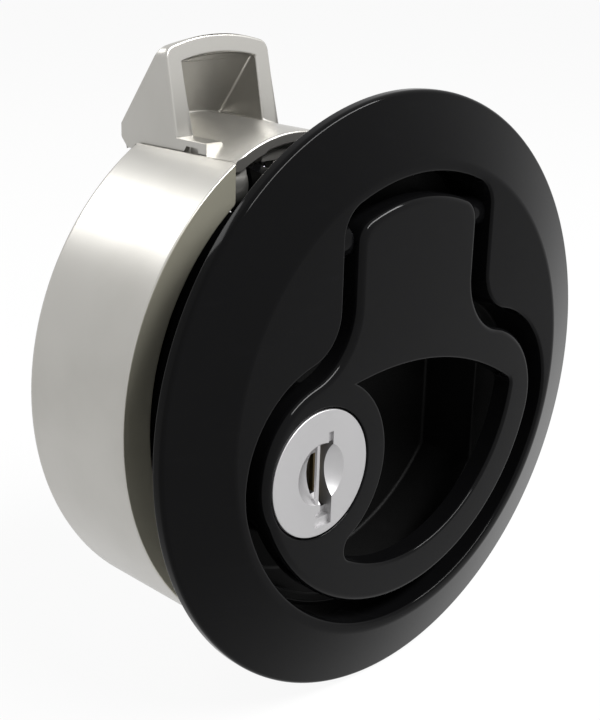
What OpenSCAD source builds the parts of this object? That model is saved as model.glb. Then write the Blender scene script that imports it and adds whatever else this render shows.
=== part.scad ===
// Flush push-to-close latch for a round panel cut-out.
// X points to the viewer's right, Z up, and the front faces -Y.
// The origin lies on the latch axis, in the back plane of the bezel flange.

/* [Bezel and housing] */
// Radius of the bezel flange
bezel_r = 38.1; // [37:0.1:42]
// Thickness of the flange at its outer edge
rim_t = 1.5; // [1:0.1:2.4]
// Height of the flat front face in front of the panel
face_h = 4.5; // [4.2:0.1:5.5]
// Radius of the flat front face, inside the sloping band
crease_r = 30; // [29.5:0.1:32]
// Outer radius of the barrel that passes through the panel
barrel_r = 30.4; // [30:0.1:31.5]
// Wall of the barrel
barrel_wall = 2; // [1.6:0.1:2.2]
// Depth of the barrel behind the flange
barrel_depth = 21; // [19:0.5:22]
// Thickness of the moulded walls inside the housing
wall = 1.8; // [1.4:0.1:2.2]

/* [Recess] */
// Radius of the recess round the handle
recess_r = 28.8; // [28.4:0.1:29.2]
// Half width of the recess beside the hinge
neck_half = 13.5; // [13.2:0.1:14]
// Radius of the shoulders of the recess
lobe_r = 13.4; // [13:0.1:14]
// Radius of the hollow corner between neck and shoulder
neck_fillet = 6; // [5:0.5:7]
// Radius of the upper corners of the recess
neck_corner = 4; // [3.5:0.5:5]
// Depth of the recess floor behind the flange
recess_floor = 2.6; // [2.4:0.1:3]
// Radius of the finger bowl
bowl_r = 27.4; // [26.8:0.1:27.6]
// Depth of the finger bowl behind the flange
bowl_depth = 11.5; // [11.2:0.1:12]
// Height of the bowl's upper wall
bowl_top = 8; // [7.5:0.5:9]
// Distance of the bowl's flat right wall from the axis
bowl_flat = 22.2; // [21.8:0.1:23]

/* [Handle] */
// Gap between the recess and the handle
handle_gap = 2.7; // [2.4:0.1:3]
// Thickness of the handle plate
handle_t = 2.8; // [2.4:0.1:3.2]
// Radius of the rolled hinge barrel on the handle
knuckle_r = 3.3; // [3:0.1:3.4]
// Height of the handle's hinge pin above the latch axis
hinge_z = 21.9; // [21.7:0.1:22.4]
// Radius of the outer edge of the finger hole
hole_r = 20.9; // [20:0.1:21.5]
// Radius of the lock boss edge of the finger hole
boss_edge_r = 11.5; // [11.2:0.1:12]
// Radius of the finger hole's arched upper edge
hole_arch_r = 42.8; // [40:0.2:46]
// Rounding of the finger hole's right corner
hole_corner = 1.5; // [1:0.1:2]
// Rounding of the finger hole's left tip
hole_tip_r = 1.9; // [1.2:0.1:2.4]
// Width of the notch between lock boss and finger hole
notch_w = 0.6; // [0.4:0.1:1]
// Height of the top of the finger hole
hole_top = 5.5; // [4:0.1:6]
// Angle that the handle swings open
handle_swing = 35; // [30:1:38]

/* [Lock] */
// Lock axis to the left of the latch axis
lock_x = 16.3; // [16:0.1:16.6]
// Lock axis below the latch axis
lock_z = 4.8; // [4.5:0.1:5]
// Radius of the lock face
lock_face_r = 7.9; // [7.6:0.1:8.1]
// Radius of the lock plug behind its face
plug_r = 5.4; // [5:0.1:5.6]
// Outer radius of the lock sleeve
sleeve_r = 7.3; // [7:0.1:7.5]
// Depth of the lock sleeve behind the flange
sleeve_depth = 6.6; // [6:0.2:7]
// Width of the key slot
key_w = 2.9; // [2.4:0.1:3.2]
// Length of the key slot
key_l = 11.2; // [10.4:0.1:12]
// Radius of the round dimple in the lock face
dimple_r = 3.7; // [3.4:0.1:4]
// Number of wafers in the plug
wafer_count = 5; // [4:1:5]
// Width of a wafer
wafer_w = 5.1; // [4.6:0.1:5.2]
// Height of a wafer
wafer_h = 9.2; // [8.4:0.1:9.3]
// Spacing of the wafers
wafer_pitch = 1.5; // [1.3:0.05:1.5]
// Side of the plug's square end
tang_w = 4; // [3.4:0.1:4.4]
// Width of the lock tongue
tongue_w = 5.2; // [4.8:0.1:5.6]
// Length of the lock tongue from the lock axis
tongue_l = 10; // [8.5:0.1:10.2]

/* [Hinge pins and link] */
// Diameter of the handle pin and of the pawl pin
pin_d = 3; // [2.6:0.1:3.2]
// Diameter of the two link pins
link_pin_d = 2; // [1.8:0.1:2.2]
// Radial running clearance of a part on its pin
run_gap = 0.05; // [0.03:0.01:0.08]
// Distance of each link pin from its hinge pin
crank = 7.5; // [7:0.1:8]
// Thickness of the pull link
link_t = 2; // [1.6:0.1:2.2]
// Radius of the ends of the pull link
link_end_r = 2.3; // [2.1:0.1:2.6]
// Side clearance between moving parts
side_gap = 0.3; // [0.25:0.05:0.4]

/* [Pawl] */
// Depth of the pawl pin behind the flange
pawl_pin_y = 12.5; // [12:0.1:13.5]
// Height of the pawl pin
pawl_pin_z = 27; // [26.5:0.1:27.2]
// Centre of the pawl to the left of the axis
pawl_x = 9.4; // [9.2:0.1:9.6]
// Width of the pawl
pawl_w = 16.8; // [16.4:0.1:17.2]
// Thickness of the pawl's side walls
pawl_wall = 2.35; // [2:0.05:2.5]
// Height of the top of the pawl
pawl_top = 43; // [41:0.1:45]
// Depth of the pawl's front face at its foot
strike_y = 19.8; // [19:0.1:21]
// Lean of the front face in degrees, backwards towards the top
strike_lean = 11; // [6:0.5:14]
// Depth of the rear end of the pawl
pawl_rear = 30.3; // [29.5:0.1:31.5]
// Height of the lower end of the ramp
ramp_foot = 31.9; // [31:0.1:33]
// Height of the pawl saddle at its crown
saddle_top = 32.7; // [32.4:0.1:33]
// Thickness of the pawl saddle
saddle_t = 1.4; // [1.2:0.1:1.5]
// Distance of the saddle's crown to the left of the axis
saddle_x = 8; // [7:0.1:9.4]
// Depth of the front edge of the saddle
saddle_front = 9.2; // [9.1:0.1:10]
// Radius of the saddle's crown
saddle_r = 19; // [18:1:24]
// Radius of the crowned top edge of the pawl
crown_r = 27; // [22:1:36]
// Rounding of the pawl's two top corners
crown_corner = 1.5; // [0.8:0.1:2]
// Thickness of the band above the hollow
top_band = 2.2; // [1.8:0.1:2.6]
// Height of the ledge at the foot of the left wall
ledge_z = 31.5; // [31:0.1:31.8]
// Depth of the front end of that ledge
ledge_y = 14.2; // [13.8:0.1:15]

/* [Clamp cup] */
// Clearance between the barrel and the clamp cup
cup_clear = 0.8; // [0.6:0.1:1]
// Wall of the clamp cup
cup_wall = 4; // [3.6:0.1:4.2]
// Panel thickness that the cup is set to
panel_t = 8.6; // [8:0.1:9]
// Length of the clamp cup
cup_len = 18.6; // [17.5:0.1:20]
// Thickness of the cup's rear wall
cup_back_t = 2; // [1.6:0.1:2.4]
// Height of the foot of the gap in the clamp cup
cup_gap_foot = 14; // [12:0.5:16]
// Rounding of the cup's two ends beside the pawl
cup_corner = 1.6; // [1:0.1:2]
// Distance of the clamp screws from the axis
screw_ring = 22; // [21.5:0.1:22.4]
// Diameter of the clamp screws
screw_d = 4; // [3.5:0.1:4]
// Radius of the screw bosses
boss_r = 3.4; // [3.2:0.1:3.6]
// Depth that the screws reach into their bosses
screw_grip = 6.5; // [5:0.5:6.5]

/* [Springs] */
// Wire diameter of the two torsion springs
wire_d = 0.7; // [0.5:0.05:0.8]
// Number of turns of each torsion spring
spring_turns = 2; // [1:1:2]

/* [Hidden] */
$fn = 96;

eps = 0.01;
face_y = -face_h;
plate_back = face_y + handle_t;
floor_back = recess_floor + wall;
bowl_back = bowl_depth + wall;
barrel_in = barrel_r - barrel_wall;
hinge_y = face_y + knuckle_r;
lobe_x = 14.8;
lobe_z = -sqrt(pow(recess_r - lobe_r, 2) - lobe_x * lobe_x);
handle_half = neck_half - handle_gap;
pawl_left = -pawl_x - pawl_w / 2;
pawl_right = -pawl_x + pawl_w / 2;
cup_in = barrel_r + cup_clear;
cup_r = cup_in + cup_wall;
cup_gap = side_gap - pawl_left;
cup_back = panel_t + cup_len;
screw_angles = [75, 180, 285];

// The stack on the pawl pin, from the left ear to the right ear
ear_l_in = pawl_left + pawl_wall;
ear_r_in = pawl_right - pawl_wall;
coil_w = spring_turns * wire_d * 1.06 + wire_d;
coil_gap = 0.12;
crank_t = 1.8;
pin_head = 0.35;
lug_t = (pawl_w - 2 * pawl_wall - coil_w - crank_t - link_t - pin_head - 4 * side_gap - 2 * coil_gap) / 2;
lug_l = ear_l_in + side_gap;
coil_l = lug_l + lug_t + coil_gap;
spring_x = 2;
coil_room = pin_d / 2 + wire_d + 0.35;
crank_l = coil_l + coil_w + coil_gap;
link_l = crank_l + crank_t + side_gap;
lug_r = ear_r_in - side_gap - lug_t;
hub_r = pin_d / 2 + 1.5;
lug_end_r = hub_r - 0.5;
lean = tan(strike_lean);
wedge_foot = saddle_top - saddle_t - 2.2;
crank_end_r = link_end_r;
notch_y = saddle_front - 0.6;
tongue_t = 1.4;
tongue_y = sleeve_depth + 0.4;
wafer_t = 0.6;

// Point where two circles meet, to the right of the line from a to b when seen from above
function meet(a, ra, b, rb) =
    let (d = norm(b - a), u = (b - a) / d, k = (d * d + ra * ra - rb * rb) / (2 * d))
    a + k * u + sqrt(ra * ra - k * k) * [-u[1], u[0]];

// A solid turned about the latch axis, from [radius, depth] points
module turned(points) {
    rotate([90, 0, 0]) rotate_extrude() polygon([for (p = points) [p[0], -p[1]]]);
}

// A front outline pushed from depth y0 back to depth y1
module deep(y0, y1) {
    translate([0, y1, 0]) rotate([90, 0, 0]) linear_extrude(y1 - y0) children();
}

// A side outline, drawn as [depth, height], spread from x0 to x1
module across(x0, x1) {
    translate([x0, 0, 0]) rotate([90, 0, 90]) linear_extrude(x1 - x0) children();
}

// A round pin along X
module cross_pin(x0, x1, y, z, d) {
    translate([x0, y, z]) rotate([0, 90, 0]) cylinder(h = x1 - x0, d = d);
}

// A round bar along the latch axis
module axial(x, z, y0, y1, r) {
    translate([x, y1, z]) rotate([90, 0, 0]) cylinder(h = y1 - y0, r = r);
}

// One side of the bite that shapes the shoulders, at a given inset
module shoulder(inset) {
    r = lobe_r - inset;
    f = neck_fillet + inset;
    half = neck_half - inset;
    fx = half + f;
    fz = lobe_z + sqrt(pow(r + f, 2) - pow(fx - lobe_x, 2));
    translate([lobe_x, lobe_z]) circle(r);
    difference() {
        polygon([[half - 1, lobe_z], [half - 1, fz], [fx, fz],
                 [lobe_x + (fx - lobe_x) * r / (r + f), lobe_z + (fz - lobe_z) * r / (r + f)],
                 [lobe_x, lobe_z]]);
        translate([fx, fz]) circle(f);
    }
}

// The neck of the outline with its rounded upper corners
module neck(inset, corner) {
    r = recess_r - inset;
    half = neck_half - inset;
    cx = half - corner;
    cz = sqrt(pow(r - corner, 2) - cx * cx);
    reach = 1.3 * r / (r - corner);
    difference() {
        intersection() {
            circle(r, $fn = 180);
            translate([-half, lobe_z]) square([2 * half, r + 10]);
        }
        for (s = [-1, 1]) difference() {
            polygon([[s * cx, cz], [s * (half + 2), cz], [s * (half + 2), cz * reach], [s * cx * reach, cz * reach]]);
            translate([s * cx, cz]) circle(corner);
        }
    }
}

// The keyhole outline that the recess and the handle share
module key_outline(inset, corner) {
    r = recess_r - inset;
    union() {
        neck(inset, corner);
        shoulder(inset);
        mirror([1, 0]) shoulder(inset);
        intersection() {
            circle(r, $fn = 180);
            polygon([[0, 0], [-60, 60 * lobe_z / lobe_x], [-60, -60], [60, -60], [60, 60 * lobe_z / lobe_x]]);
        }
    }
}

// The finger hole: outer arc, boss arc and arched top, with a rounded corner and tip
module finger_hole() {
    arch = [-3, hole_top - hole_arch_r];
    boss = [-lock_x, -lock_z];
    corner = meet([0, 0], hole_r - hole_corner, arch, hole_arch_r - hole_corner);
    tip = meet([0, 0], hole_r - hole_tip_r, boss, boss_edge_r + hole_tip_r);
    difference() {
        intersection() {
            circle(hole_r);
            translate(arch) circle(hole_arch_r, $fn = 180);
        }
        translate(boss) circle(boss_edge_r);
        polygon([tip - hole_tip_r * unit(tip - boss), [-lock_x, -12], [-40, -12], [-40, -40], [-lock_x, -40],
                 hole_r * unit(tip) * 1.05, hole_r * unit(tip)]);
        translate([-40, -13]) square([40 - lock_x + 6, 40]);
        difference() {
            polygon([corner, hole_r * unit(corner), [hole_r + 3, corner[1] + 3],
                     arch + hole_arch_r * unit(corner - arch)]);
            translate(corner) circle(hole_corner);
        }
    }
    translate(tip) circle(hole_tip_r);
    // Thin notch where the boss runs up past the arched edge
    intersection() {
        difference() {
            translate([-lock_x, -lock_z]) circle(boss_edge_r + notch_w);
            translate([-lock_x, -lock_z]) circle(boss_edge_r);
        }
        translate([-lock_x + 7.4, hole_top - 2.5]) square([5, 3]);
    }
}

// The bowl outline: inside the recess, with a level top and one flat side
module bowl_outline(grow) {
    intersection() {
        key_outline(recess_r - bowl_r - grow, neck_corner);
        translate([-40, -40]) square([40 + bowl_flat + grow, 40 + bowl_top + grow]);
    }
}

// A hinge lug that carries the pawl pin
module pawl_lug(x0) {
    across(x0, x0 + lug_t) difference() {
        union() {
            translate([pawl_pin_y, pawl_pin_z]) circle(lug_end_r);
            polygon([[floor_back - 0.5, 18], [floor_back - 0.5, 28], [pawl_pin_y, pawl_pin_z + lug_end_r],
                     [pawl_pin_y + 2, pawl_pin_z - 2], [floor_back + 3, 18]]);
        }
        translate([pawl_pin_y, pawl_pin_z]) circle(d = pin_d + 0.02);
    }
}

// Places its children at each clamp screw
module at_screws() {
    for (a = screw_angles) translate([screw_ring * sin(a), 0, screw_ring * cos(a)]) children();
}

module bezel_housing() {
    color([0.05, 0.05, 0.055]) difference() {
        union() {
            difference() {
                union() {
                    turned([[0, 0], [bezel_r, 0], [bezel_r, -rim_t], [crease_r, face_y], [0, face_y]]);
                    deep(-eps, floor_back) circle(barrel_r);
                    turned([[barrel_in, 0], [barrel_r, 0], [barrel_r, barrel_depth], [barrel_in, barrel_depth]]);
                    deep(0, bowl_back) bowl_outline(wall);
                    at_screws() axial(0, 0, recess_floor, barrel_depth, boss_r);
                }
                deep(face_y - 1, recess_floor) key_outline(0, neck_corner);
                deep(face_y - 1, bowl_depth) bowl_outline(0);
                // Mouth for the pawl in the top of the barrel
                translate([pawl_left - 0.5, notch_y, 15]) cube([pawl_w + 1, 30, 30]);
                // Slot for the pull link in the recess floor, as high as the link's swing
                translate([link_l - 0.4, 0, hinge_z - crank - 1.5])
                    cube([link_t + 0.8, floor_back + 1, 2 * link_end_r + crank * sin(handle_swing) + 0.7]);
            }
            pawl_lug(lug_l);
            pawl_lug(lug_r);
            for (s = [-1, 1]) cross_pin(s > 0 ? handle_half + side_gap : -neck_half - 0.5,
                                        s > 0 ? neck_half + 0.5 : -handle_half - side_gap, hinge_y, hinge_z, 2 * 2.2);
        }
        cross_pin(-neck_half - 3, neck_half + 3, hinge_y, hinge_z, pin_d + 0.02);
        at_screws() axial(0, 0, barrel_depth - screw_grip - 0.5, barrel_depth + 1, screw_d / 2 + 0.02);
    }
}

module handle() {
    color([0.06, 0.06, 0.065]) difference() {
        union() {
            deep(face_y, plate_back) key_outline(handle_gap, 3);
            intersection() {
                cross_pin(-handle_half, handle_half, hinge_y, hinge_z, 2 * knuckle_r);
                deep(face_y - 1, recess_floor + 1) neck(handle_gap, 3);
            }
            axial(-lock_x, -lock_z, face_y, sleeve_depth - 1.2, lock_face_r + 1.4);
            // Lug that carries the front link pin
            across(crank_l, crank_l + crank_t) union() {
                translate([hinge_y, hinge_z - crank]) circle(crank_end_r);
                translate([face_y + 1, hinge_z - crank - crank_end_r]) square([hinge_y - face_y - 1, crank]);
            }
        }
        deep(face_y - 1, recess_floor) finger_hole();
        cross_pin(-20, 20, hinge_y, hinge_z, pin_d + 2 * run_gap);
        cross_pin(crank_l - 1, crank_l + crank_t + 1, hinge_y, hinge_z - crank, link_pin_d + 2 * run_gap);
        axial(-lock_x, -lock_z, face_y - 1, face_y + 1.8, lock_face_r + 0.25);
        axial(-lock_x, -lock_z, face_y, sleeve_depth + 1, sleeve_r + 0.02);
        // Relief in the plate's back for the front end of the pull link
        cross_pin(link_l - side_gap, link_l + link_t + 0.7, hinge_y, hinge_z - crank, 2 * (link_end_r + side_gap));
        // Room behind the knuckle for the pull link at the end of its swing
        across(link_l - side_gap, link_l + link_t + 0.7) difference() {
            translate([hinge_y, hinge_z - knuckle_r - 1]) square([knuckle_r + 1, knuckle_r + 1]);
            translate([hinge_y, hinge_z]) circle(pin_d / 2 + 0.9);
        }
        // Window for the spring at the back of the knuckle
        cross_pin(spring_x - 0.4, spring_x + coil_w + 0.4, hinge_y, hinge_z, 2 * coil_room);
        translate([spring_x - 0.4, hinge_y, hinge_z - coil_room]) cube([coil_w + 0.8, 8, 2 * coil_room]);
    }
}

module handle_pin() {
    color([0.75, 0.75, 0.76]) cross_pin(-neck_half - 2.6, neck_half + 2.6, hinge_y, hinge_z, pin_d);
}

// A closed ring with one gap, as a spring clip
module ring_clip(r_in, r_out, t) {
    linear_extrude(t) difference() {
        circle(r_out);
        circle(r_in);
        translate([0, -r_in * 0.7]) square([r_out + 1, r_in * 1.4]);
    }
}

module handle_pin_clips() {
    color([0.3, 0.3, 0.32]) for (x = [-handle_half - side_gap + 0.02, handle_half + side_gap - 0.22])
        translate([x, hinge_y, hinge_z]) rotate([0, 90, 0]) ring_clip(pin_d / 2 + 0.01, pin_d / 2 + 0.5, 0.2);
}

// A wire swept along a helix about X, with straight end legs
function helix_points(r, turns, pitch, steps, a0) =
    [for (i = [0 : turns * steps]) let (a = a0 + 360 * i / steps) [pitch * i / steps, r * cos(a), r * sin(a)]];

function unit(v) = v / norm(v);

module wire(points, d, sides = 8) {
    n = len(points);
    function tangent(i) = unit(points[min(i + 1, n - 1)] - points[max(i - 1, 0)]);
    rings = [for (i = [0 : n - 1]) let (t = tangent(i), a = unit(cross(t, abs(t[0]) > 0.9 ? [0, 1, 0] : [1, 0, 0])),
             b = cross(t, a)) [for (k = [0 : sides - 1]) points[i] + d / 2 * (cos(360 * k / sides) * a
             + sin(360 * k / sides) * b)]];
    polyhedron([for (ring = rings) each ring],
        concat([[for (k = [0 : sides - 1]) k]], [[for (k = [sides - 1 : -1 : 0]) (n - 1) * sides + k]],
            [for (i = [0 : n - 2], k = [0 : sides - 1])
                [i * sides + k, (i + 1) * sides + k, (i + 1) * sides + (k + 1) % sides, i * sides + (k + 1) % sides]]));
}

module torsion_spring(x, y, z, r, leg_a, leg_b) {
    pitch = wire_d * 1.06;
    coil = helix_points(r, spring_turns, pitch, 16, 90);
    first = coil[0];
    last = coil[len(coil) - 1];
    path = concat([first + leg_a], coil, [last + leg_b]);
    translate([x + wire_d / 2, y, z]) wire(path, wire_d);
}

module handle_spring() {
    color([0.7, 0.7, 0.72])
        torsion_spring(spring_x, hinge_y, hinge_z, pin_d / 2 + 0.15 + wire_d / 2, [0, 1.4, 0], [0, -0.9, 0]);
}

module pawl_spring() {
    color([0.7, 0.7, 0.72])
        torsion_spring(coil_l, pawl_pin_y, pawl_pin_z, pin_d / 2 + 0.2 + wire_d / 2, [0, 3.2, 0], [0, -0.9, 0]);
}

// Outline of the pawl's side: ramp at the back, leaning strike face at the front
module pawl_side() {
    top_y = strike_y + (pawl_top - saddle_top) * lean;
    polygon([[strike_y - 2 * lean, saddle_top - 2], [top_y, pawl_top], [top_y + 0.25, pawl_top],
             [pawl_rear, ramp_foot], [pawl_rear, wedge_foot + 1], [pawl_rear - 1, wedge_foot],
             [strike_y - 2 * lean, wedge_foot]]);
}

// Hollow inside the wedge, bounded by the ramp's wall
module pawl_pocket() {
    top_y = strike_y + (pawl_top - saddle_top) * lean;
    polygon([[strike_y - 6, saddle_top - 3], [strike_y - 6, pawl_top - top_band], [top_y - 0.3, pawl_top - top_band],
             [pawl_rear - 1.9, ramp_foot - 0.4], [pawl_rear - 1.9, saddle_top - 3]]);
}

// Everything below an arch of a given centre line, radius and crown height
module under_arch(x, r, crown, left, right) {
    intersection() {
        translate([x, crown - r]) circle(r, $fn = 180);
        translate([left, crown - r]) square([right - left, 2 * r]);
    }
}

// The pawl's crowned front outline with rounded top corners
module crowned(inset, corner) {
    r = crown_r - inset;
    top = pawl_top - inset;
    half = pawl_w / 2 - inset;
    cx = half - corner;
    cz = top - r + sqrt(pow(r - corner, 2) - cx * cx);
    out = unit([cx, cz - top + r]);
    difference() {
        under_arch(-pawl_x, r, top, -pawl_x - half, -pawl_x + half);
        for (s = [-1, 1]) translate([-pawl_x, 0]) difference() {
            polygon([[s * cx, cz], [s * (half + 1), cz], [s * (half + 1), top + 2],
                     [s * (cx + 4 * out[0]), cz + 4 * out[1]]]);
            translate([s * cx, cz]) circle(corner);
        }
    }
}

// The saddle's arch, lowered by a given amount
module saddle_arch(drop, left, right) {
    under_arch(-saddle_x, saddle_r - drop, saddle_top - drop, left, right);
}

module pawl_ear(x0, x1) {
    across(x0, x1) union() {
        translate([pawl_pin_y, pawl_pin_z]) circle(hub_r);
        polygon([[saddle_front + 1.2, wedge_foot + 1.6], [pawl_pin_y - hub_r, pawl_pin_z],
                 [pawl_pin_y + hub_r / 2, pawl_pin_z - hub_r * 0.86], [strike_y + 4, wedge_foot],
                 [strike_y + 4, wedge_foot + 1.6]]);
    }
}

module pawl() {
    color([0.72, 0.71, 0.68]) difference() {
        union() {
            // Crowned wedge, hollow from the front
            difference() {
                intersection() {
                    across(pawl_left, pawl_right) pawl_side();
                    deep(strike_y - 1, pawl_rear + 1) crowned(0, crown_corner);
                }
                intersection() {
                    across(ear_l_in, ear_r_in) pawl_pocket();
                    deep(strike_y - 8, pawl_rear + 1) crowned(top_band, 0.4);
                }
                // The wedge is open underneath between its side walls
                translate([ear_l_in, strike_y - 1, wedge_foot - 4])
                    cube([ear_r_in - ear_l_in, pawl_rear - strike_y + 1 - 2, saddle_top - saddle_t - wedge_foot + 4.2]);
            }
            // Arched saddle
            deep(saddle_front, pawl_rear - 1) difference() {
                saddle_arch(0, pawl_left, pawl_right);
                saddle_arch(saddle_t, -40, 40);
                translate([-40, 0]) square([80, wedge_foot - 0.2]);
            }
            intersection() {
                union() {
                    pawl_ear(pawl_left, ear_l_in);
                    pawl_ear(ear_r_in, pawl_right);
                }
                deep(0, 40) saddle_arch(0, pawl_left, pawl_right);
            }
            // Level ledge at the foot of the left wall
            translate([pawl_left, ledge_y, wedge_foot]) cube([pawl_wall, strike_y + 1 - ledge_y, ledge_z - wedge_foot]);
            // Apron under the front of the saddle, between the hinge lugs
            deep(saddle_front + 1, saddle_front + 2.2) intersection() {
                saddle_arch(0, lug_l + lug_t + side_gap, lug_r - side_gap);
                translate([-40, pawl_pin_z + 2.4]) square([80, 20]);
            }
            // Crank cheek that the pull link draws forward
            across(crank_l, crank_l + crank_t) union() {
                translate([pawl_pin_y, pawl_pin_z]) circle(hub_r);
                translate([pawl_pin_y, pawl_pin_z - crank]) circle(crank_end_r);
                translate([pawl_pin_y - crank_end_r, pawl_pin_z - crank]) square([2 * crank_end_r, crank]);
                translate([pawl_pin_y - 2, pawl_pin_z]) square([6, saddle_top - saddle_t - pawl_pin_z + 0.2]);
            }
        }
        cross_pin(pawl_left - 1, pawl_right + 1, pawl_pin_y, pawl_pin_z, pin_d + 2 * run_gap);
        cross_pin(crank_l - 1, crank_l + crank_t + 1, pawl_pin_y, pawl_pin_z - crank, link_pin_d + 2 * run_gap);
        // Small notch in the left face, below the ledge
        translate([pawl_left - 1, ledge_y + 1.5, ledge_z - 1.7]) cube([1.8, 2.4, 0.9]);
    }
}

module pawl_pin() {
    color([0.75, 0.75, 0.76]) cross_pin(pawl_left + 0.2, pawl_right - 0.2, pawl_pin_y, pawl_pin_z, pin_d);
}

module pawl_pin_clips() {
    color([0.3, 0.3, 0.32]) for (x = [ear_l_in + 0.05, ear_r_in - 0.25])
        translate([x, pawl_pin_y, pawl_pin_z]) rotate([0, 90, 0]) ring_clip(pin_d / 2 + 0.01, pin_d / 2 + 0.9, 0.2);
}

module pull_link() {
    y0 = hinge_y;
    z0 = hinge_z - crank;
    y1 = pawl_pin_y;
    z1 = pawl_pin_z - crank;
    color([0.66, 0.67, 0.68]) difference() {
        across(link_l, link_l + link_t) union() {
            translate([y0, z0]) circle(link_end_r);
            translate([y1, z1]) circle(link_end_r);
            translate([y0, z0]) rotate(atan2(z1 - z0, y1 - y0)) translate([0, -1.5])
                square([norm([y1 - y0, z1 - z0]), 3]);
        }
        cross_pin(-20, 20, y0, z0, link_pin_d + 2 * run_gap);
        cross_pin(-20, 20, y1, z1, link_pin_d + 2 * run_gap);
    }
}

module link_pin(y, z) {
    color([0.75, 0.75, 0.76]) cross_pin(crank_l, link_l + link_t + pin_head, y, z, link_pin_d);
}

module link_pin_front() { link_pin(hinge_y, hinge_z - crank); }

module link_pin_rear() { link_pin(pawl_pin_y, pawl_pin_z - crank); }

module link_clip(y, z) {
    color([0.3, 0.3, 0.32]) translate([link_l + link_t + 0.05, y, z]) rotate([0, 90, 0])
        ring_clip(link_pin_d / 2 + 0.01, link_pin_d / 2 + 0.6, 0.2);
}

module link_clip_front() { link_clip(hinge_y, hinge_z - crank); }

module link_clip_rear() { link_clip(pawl_pin_y, pawl_pin_z - crank); }

module lock_sleeve() {
    color([0.62, 0.6, 0.5]) difference() {
        axial(-lock_x, -lock_z, face_y + 1.9, sleeve_depth, sleeve_r);
        axial(-lock_x, -lock_z, face_y, sleeve_depth + 1, plug_r + run_gap);
        // Groove for the retaining clip
        translate([-lock_x, sleeve_depth - 0.2, -lock_z]) rotate([90, 0, 0]) difference() {
            cylinder(h = 0.8, r = sleeve_r + 1);
            translate([0, 0, -1]) cylinder(h = 3, r = sleeve_r - 0.6);
        }
    }
}

module lock_plug() {
    color([0.74, 0.74, 0.74]) difference() {
        union() {
            axial(-lock_x, -lock_z, face_y, face_y + 1.7, lock_face_r);
            axial(-lock_x, -lock_z, face_y, sleeve_depth + 0.1, plug_r);
            translate([-lock_x - tang_w / 2, sleeve_depth, -lock_z - tang_w / 2]) cube([tang_w, tongue_t + 0.4, tang_w]);
        }
        // Stepped key slot and round dimple
        translate([-lock_x - key_w / 2, face_y - 1, -lock_z - key_l / 2 - 0.4]) cube([key_w, 1.9, key_l]);
        translate([-lock_x - key_w / 2 + 0.35, face_y - 1, -lock_z - 4.4]) cube([key_w - 0.7, 10, 8.8]);
        axial(-lock_x, -lock_z, face_y - 1, face_y + 1.1, dimple_r);
        for (i = [0 : wafer_count - 1])
            translate([-lock_x - wafer_w / 2 - 0.05, face_y + 2.5 + i * wafer_pitch, -lock_z - plug_r - 1])
                cube([wafer_w + 0.1, wafer_t + 0.1, 2 * plug_r + 2]);
        axial(-lock_x, -lock_z, sleeve_depth - 0.6, sleeve_depth + 5, 1.02);
    }
}

module lock_wafers() {
    color([0.75, 0.65, 0.35]) for (i = [0 : wafer_count - 1])
        translate([-lock_x, face_y + 2.55 + i * wafer_pitch, -lock_z]) difference() {
            translate([-wafer_w / 2, 0, -wafer_h / 2]) cube([wafer_w, wafer_t, wafer_h]);
            translate([-wafer_w / 4, -1, 0.3 * i - wafer_h * 0.37]) cube([wafer_w / 2, 3, wafer_h * 0.67]);
        }
}

module lock_tongue() {
    color([0.7, 0.7, 0.71]) translate([-lock_x, tongue_y, -lock_z]) difference() {
        translate([0, tongue_t, 0]) rotate([90, 0, 0]) linear_extrude(tongue_t) union() {
            circle(tang_w / 2 + 2.6);
            translate([-tongue_w / 2, tongue_w / 2 - tongue_l]) square([tongue_w, tongue_l - tongue_w / 2]);
            translate([0, tongue_w / 2 - tongue_l]) circle(tongue_w / 2);
        }
        translate([-tang_w / 2 - 0.02, -1, -tang_w / 2 - 0.02]) cube([tang_w + 0.04, 5, tang_w + 0.04]);
    }
}

module tongue_washer() {
    color([0.7, 0.7, 0.7]) difference() {
        axial(-lock_x, -lock_z, tongue_y + tongue_t + 0.05, tongue_y + tongue_t + 0.65, tang_w * 0.85);
        axial(-lock_x, -lock_z, 0, 20, 1.1);
    }
}

module tongue_screw() {
    color([0.72, 0.72, 0.73]) difference() {
        union() {
            axial(-lock_x, -lock_z, tongue_y + tongue_t + 0.7, tongue_y + tongue_t + 1.9, 2.2);
            axial(-lock_x, -lock_z, sleeve_depth - 0.5, tongue_y + tongue_t + 1, 1);
        }
        translate([-lock_x - 1.6, tongue_y + tongue_t + 1.4, -lock_z - 0.3]) cube([3.2, 2, 0.6]);
    }
}

module sleeve_clip() {
    color([0.35, 0.35, 0.37]) translate([-lock_x, sleeve_depth - 0.25, -lock_z]) rotate([90, 0, 0])
        ring_clip(sleeve_r - 0.55, sleeve_r + 0.9, 0.7);
}

module clamp_cup() {
    color([0.72, 0.71, 0.68]) difference() {
        turned([[cup_in, panel_t], [cup_r, panel_t], [cup_r - 0.2, cup_back], [0, cup_back], [0, cup_back - cup_back_t],
                [cup_in, cup_back - cup_back_t]]);
        // Gap for the pawl, right through wall and back, as wide on the other side of the axis
        translate([-cup_gap, 0, cup_gap_foot]) cube([2 * cup_gap, 2 * cup_back, 2 * cup_r]);
        // Rounded outer edges beside the gap
        for (s = [0, 1]) {
            x = s == 0 ? -cup_gap : cup_gap;
            dir = s == 0 ? -1 : 1;
            z = sqrt(pow(cup_r, 2) - pow(x, 2));
            deep(panel_t - 1, cup_back + 1) difference() {
                translate([min(x, x + dir * cup_corner), z - cup_corner * 0.7]) square([cup_corner, 2.5]);
                translate([x + dir * cup_corner, z - cup_corner]) circle(cup_corner);
            }
        }
        at_screws() axial(0, 0, cup_back - cup_back_t - 1, cup_back + 1, screw_d / 2 + 0.25);
    }
}

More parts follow.
